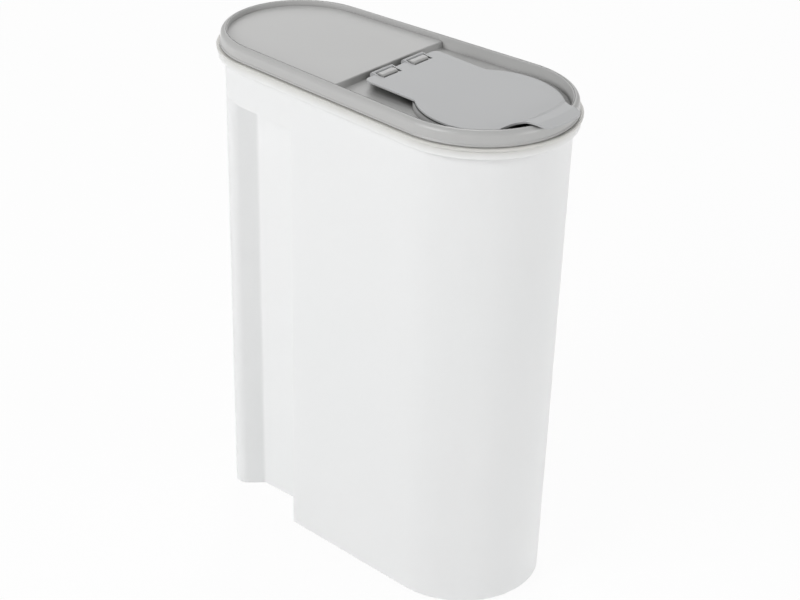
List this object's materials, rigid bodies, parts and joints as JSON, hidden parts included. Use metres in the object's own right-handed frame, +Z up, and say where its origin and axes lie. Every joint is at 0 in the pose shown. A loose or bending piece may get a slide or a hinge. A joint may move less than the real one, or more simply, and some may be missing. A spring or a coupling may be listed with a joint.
{
  "type": "cereal container",
  "caption": "Tall tapered dry-food container with grip grooves, a lift-off lid and a hinged pour flap.",
  "frame": {"origin": "on the surface it stands on, under the middle of the bounding box", "axes": "+X towards the pour end, +Z up, Y across the narrow width; the near side in the picture is -Y"},
  "size_m": [0.243, 0.1148, 0.3067],
  "materials": {
    "natural_polypropylene": "translucent natural white, fine satin",
    "grey_polypropylene": "satin grey",
    "grey_flap_polypropylene": "satin grey"
  },
  "bodies": {
    "container": {"container_body": "natural_polypropylene"},
    "lid": {"lid": "grey_polypropylene"},
    "flap": {"pour_flap": "grey_flap_polypropylene"}
  },
  "joints": [
    {"name": "lid_lift", "type": "slide", "parent": "container", "child": "lid", "axis": [0, 0, 1], "range_m": [0, 0.06]},
    {"name": "flap_hinge", "type": "hinge", "parent": "lid", "child": "flap", "pos_m": [0.00153, 0, 0.30315], "axis": [0, -1, 0], "range_deg": [0, 172]}
  ]
}
